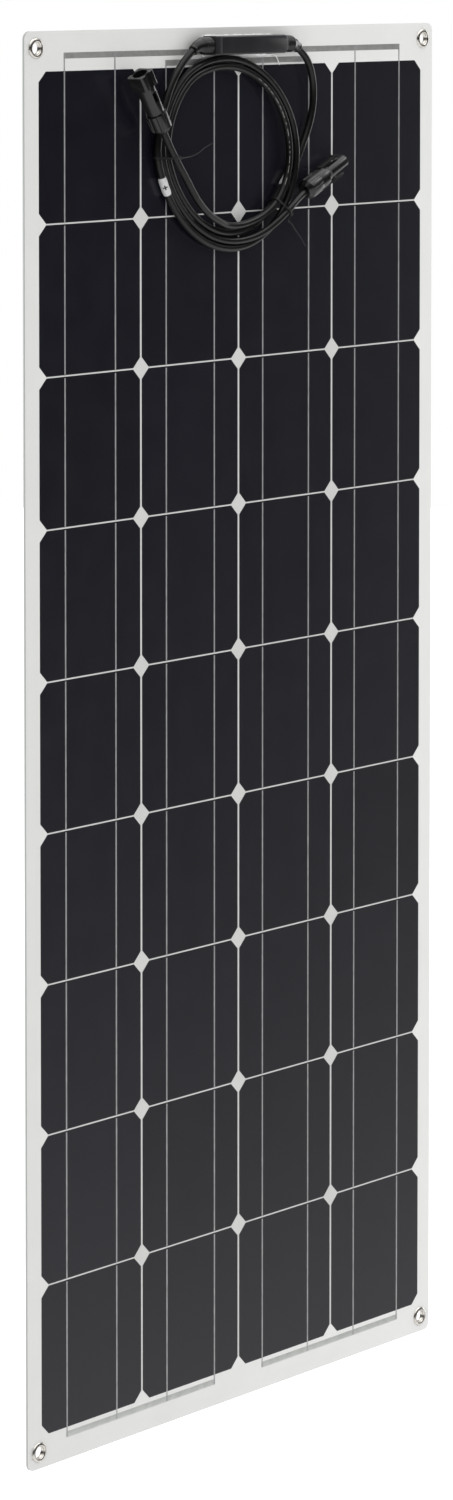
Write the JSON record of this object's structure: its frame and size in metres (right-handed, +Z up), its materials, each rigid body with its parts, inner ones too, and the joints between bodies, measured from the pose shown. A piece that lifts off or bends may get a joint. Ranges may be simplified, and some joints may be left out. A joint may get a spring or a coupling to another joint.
{
  "type": "flexible solar sheet",
  "caption": "Thin flexible solar sheet with dark square cells, corner eyelets, a slim junction box and two coiled leads with mating connectors.",
  "frame": {"origin": "centre of the four eyelets, on the back face of the sheet", "axes": "+Z up along the length of the sheet towards the junction box, -Y out of the cell side, +X to the right as seen from the cell side"},
  "size_m": [0.54, 0.0314, 1.195],
  "materials": {
    "backsheet": "satin",
    "encapsulant": "clear",
    "cell": "satin",
    "ribbon": "tinned, dull",
    "front_film": "clear, fine satin texture",
    "eyelet_metal": "nickel plated",
    "adhesive": "soft white",
    "box_plastic": "fine satin",
    "potting": "soft",
    "diode_plastic": "moulded",
    "contact_metal": "tin plated",
    "boot_rubber": "glossy",
    "lead_jacket": "satin",
    "label": "smooth white",
    "tie_plastic": "smooth",
    "connector_plastic": "moulded satin",
    "clamp_plastic": "moulded",
    "seal_rubber": "soft"
  },
  "bodies": {
    "top_panel": {"box_adhesive": "adhesive", "box_potting": "potting", "bypass_diodes": "diode_plastic", "connector_cap_nuts": "connector_plastic", "connector_clamp_cages": "clamp_plastic", "connector_gland_seals": "seal_rubber", "contact_pin": "contact_metal", "contact_socket": "contact_metal", "junction_box_base": "box_plastic", "junction_box_lid": "box_plastic", "lead_coil": "lead_jacket", "lead_cores": "contact_metal", "left_boot": "boot_rubber", "lower_tie": "tie_plastic", "negative_label": "label", "negative_lead": "lead_jacket", "negative_tail": "lead_jacket", "pin_connector_shell": "connector_plastic", "positive_label": "label", "positive_lead": "lead_jacket", "positive_tail": "lead_jacket", "ribbon_tails": "ribbon", "right_boot": "boot_rubber", "side_tie": "tie_plastic", "socket_connector_body": "connector_plastic", "socket_sealing_ring": "seal_rubber", "terminal_plates": "contact_metal", "top_backsheet": "backsheet", "top_bus_ribbons": "ribbon", "top_cell_ribbons": "ribbon", "top_cells": "cell", "top_encapsulant": "encapsulant", "top_front_film": "front_film", "upper_eyelet_washers": "eyelet_metal", "upper_eyelets": "eyelet_metal"},
    "upper_panel": {"upper_backsheet": "backsheet", "upper_cell_ribbons": "ribbon", "upper_cells": "cell", "upper_encapsulant": "encapsulant", "upper_front_film": "front_film"},
    "middle_panel": {"middle_backsheet": "backsheet", "middle_cell_ribbons": "ribbon", "middle_cells": "cell", "middle_encapsulant": "encapsulant", "middle_front_film": "front_film"},
    "lower_panel": {"lower_backsheet": "backsheet", "lower_cell_ribbons": "ribbon", "lower_cells": "cell", "lower_encapsulant": "encapsulant", "lower_front_film": "front_film"},
    "bottom_panel": {"bottom_backsheet": "backsheet", "bottom_cell_ribbons": "ribbon", "bottom_cells": "cell", "bottom_encapsulant": "encapsulant", "bottom_front_film": "front_film", "bottom_bus_ribbons": "ribbon", "lower_eyelets": "eyelet_metal", "lower_eyelet_washers": "eyelet_metal"},
    "latch_upper": {"latch_finger_upper": "connector_plastic"},
    "latch_lower": {"latch_finger_lower": "connector_plastic"}
  },
  "joints": [
    {"name": "sheet_bend", "type": "hinge", "parent": "top_panel", "child": "upper_panel", "pos_m": [0, -0.00125, 0.3125], "axis": [1, 0, 0], "range_deg": [-7.5, 7.5], "stiffness_Nm_per_rad": 8},
    {"name": "sheet_bend_upper", "type": "hinge", "parent": "upper_panel", "child": "middle_panel", "pos_m": [0, -0.00125, 0.0601], "axis": [1, 0, 0], "range_deg": [-7.5, 7.5], "stiffness_Nm_per_rad": 8},
    {"name": "sheet_bend_middle", "type": "hinge", "parent": "middle_panel", "child": "lower_panel", "pos_m": [0, -0.00125, -0.1923], "axis": [1, 0, 0], "range_deg": [-7.5, 7.5], "stiffness_Nm_per_rad": 8},
    {"name": "sheet_bend_lower", "type": "hinge", "parent": "lower_panel", "child": "bottom_panel", "pos_m": [0, -0.00125, -0.4447], "axis": [1, 0, 0], "range_deg": [-7.5, 7.5], "stiffness_Nm_per_rad": 8},
    {"name": "latch_upper_squeeze", "type": "hinge", "parent": "top_panel", "child": "latch_upper", "pos_m": [0.09673, -0.015, 0.47454], "axis": [0, 1, 0], "range_deg": [0, 4.5], "stiffness_Nm_per_rad": 1.5},
    {"name": "latch_lower_squeeze", "type": "hinge", "parent": "top_panel", "child": "latch_lower", "pos_m": [0.10451, -0.015, 0.45808], "axis": [0, -1, 0], "range_deg": [0, 4.5], "stiffness_Nm_per_rad": 1.5}
  ],
  "couplings": [
    {"joint": "sheet_bend_upper", "follows": "sheet_bend", "ratio": 1},
    {"joint": "sheet_bend_middle", "follows": "sheet_bend", "ratio": 1},
    {"joint": "sheet_bend_lower", "follows": "sheet_bend", "ratio": 1}
  ]
}
